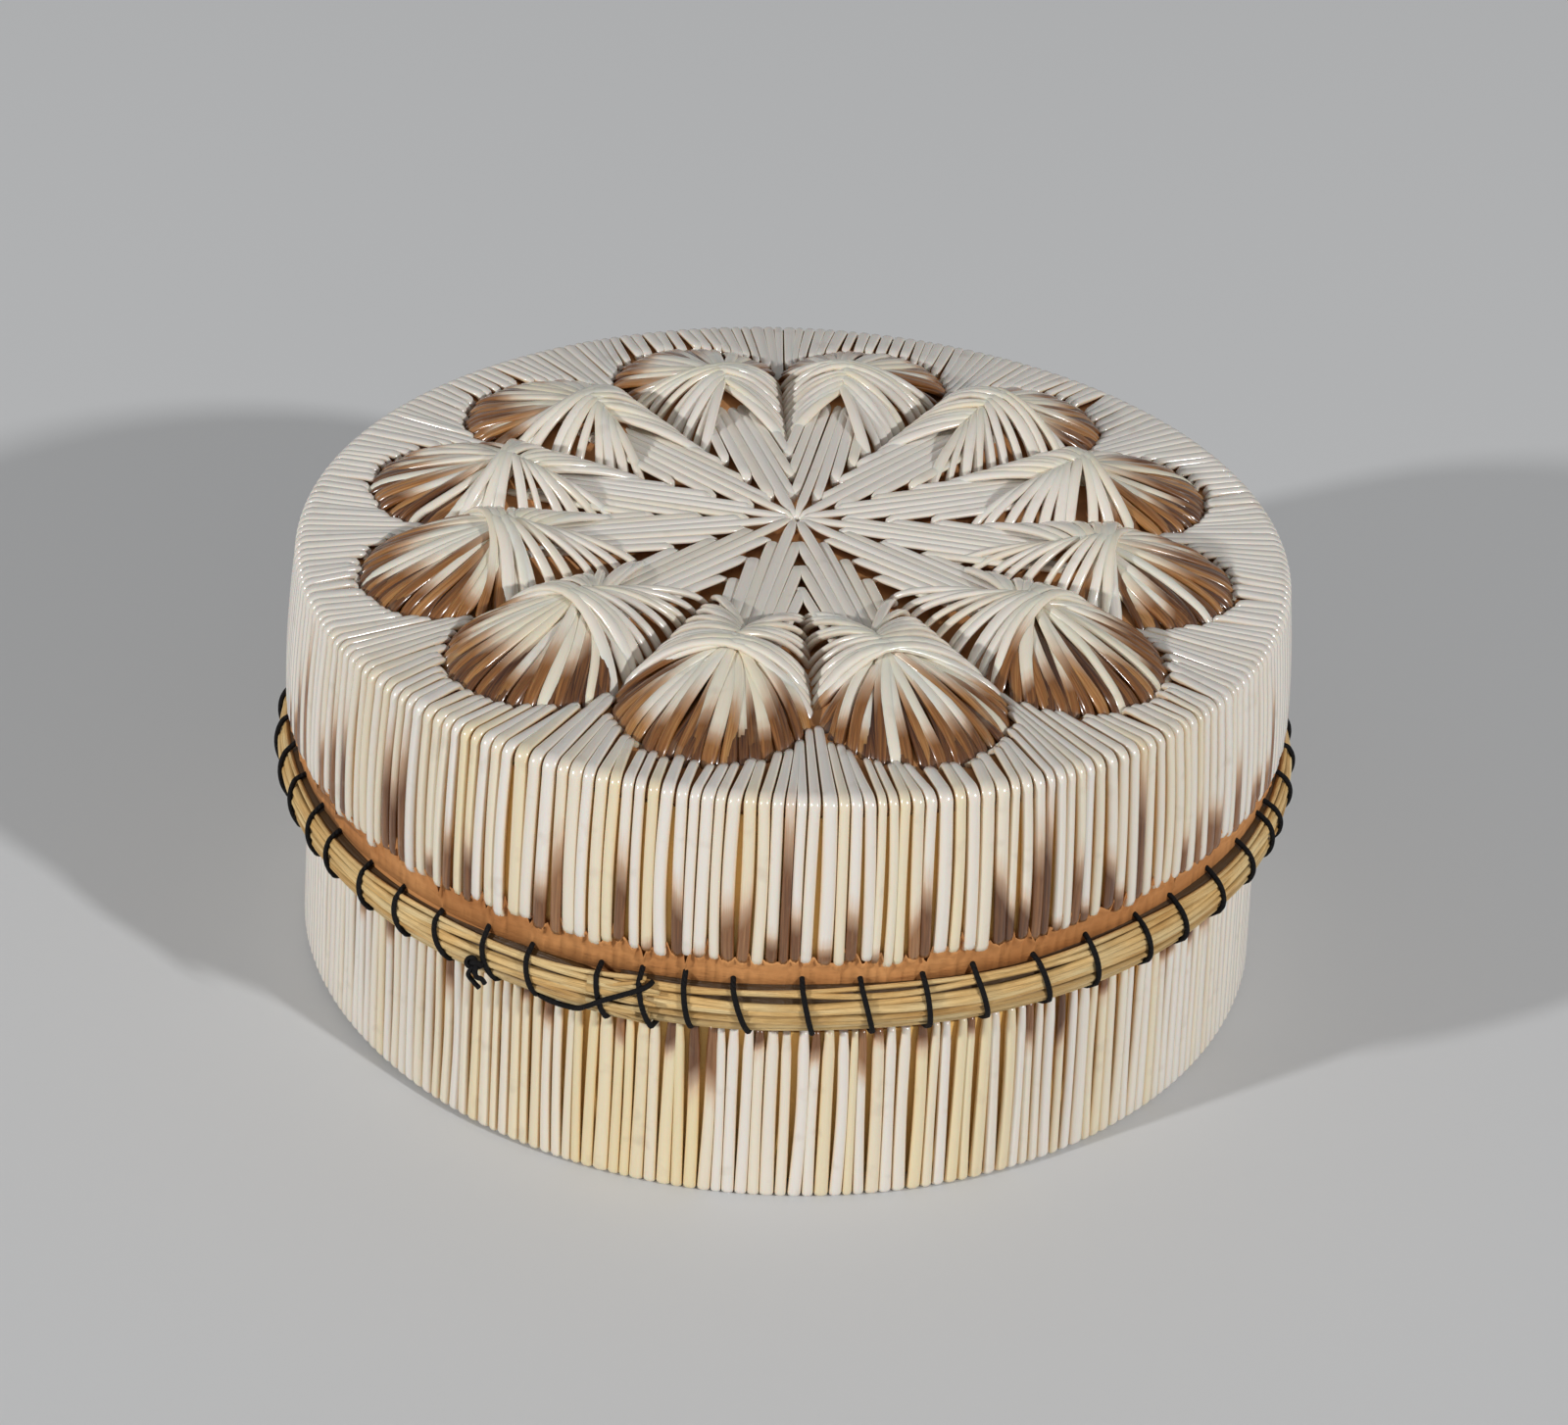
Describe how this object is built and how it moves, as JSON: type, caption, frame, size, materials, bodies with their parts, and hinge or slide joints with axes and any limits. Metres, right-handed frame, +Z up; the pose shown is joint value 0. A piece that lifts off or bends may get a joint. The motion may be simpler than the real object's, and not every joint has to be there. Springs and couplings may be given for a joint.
{
  "type": "quill box",
  "caption": "Round lidded birch-bark box covered with porcupine quills, with raised petals on the lid and a stitched sweetgrass rim; the lid lifts off.",
  "frame": {"origin": "centre of the box's underside, on the surface it stands on", "axes": "+Z up along the box's centre line, the way the lid lifts; +X and +Y run between two petals of the lid"},
  "size_m": [0.1492, 0.1492, 0.07],
  "materials": {
    "quills": "smooth, slightly glossy cream quills",
    "petal_quills": "glossy quills, cream with brown ends",
    "bark": "matt orange-tan birch bark",
    "lining": "matt pale birch bark with fine lenticels",
    "sweetgrass": "satin straw-coloured dried grass",
    "thread": "black cotton thread"
  },
  "bodies": {
    "base": {"base_floor_bark": "bark", "base_floor_lining": "lining", "base_wall_bark": "bark", "base_collar_bark": "lining", "base_wall_quills": "quills"},
    "lid": {"lid_top_bark": "bark", "lid_top_lining": "lining", "lid_wall_bark": "bark", "lid_wall_lining": "lining", "lid_border_quills": "quills", "petal_quills_01": "petal_quills", "petal_quills_02": "petal_quills", "petal_quills_03": "petal_quills", "petal_quills_04": "petal_quills", "petal_quills_05": "petal_quills", "petal_quills_06": "petal_quills", "petal_quills_07": "petal_quills", "petal_quills_08": "petal_quills", "petal_quills_09": "petal_quills", "petal_quills_10": "petal_quills", "petal_quills_11": "petal_quills", "petal_quills_12": "petal_quills", "rim_sweetgrass": "sweetgrass", "rim_thread": "thread", "rim_knot": "thread"}
  },
  "joints": [
    {"name": "lid_lift", "type": "slide", "parent": "base", "child": "lid", "axis": [0, 0, 1], "range_m": [0, 0.05]}
  ]
}
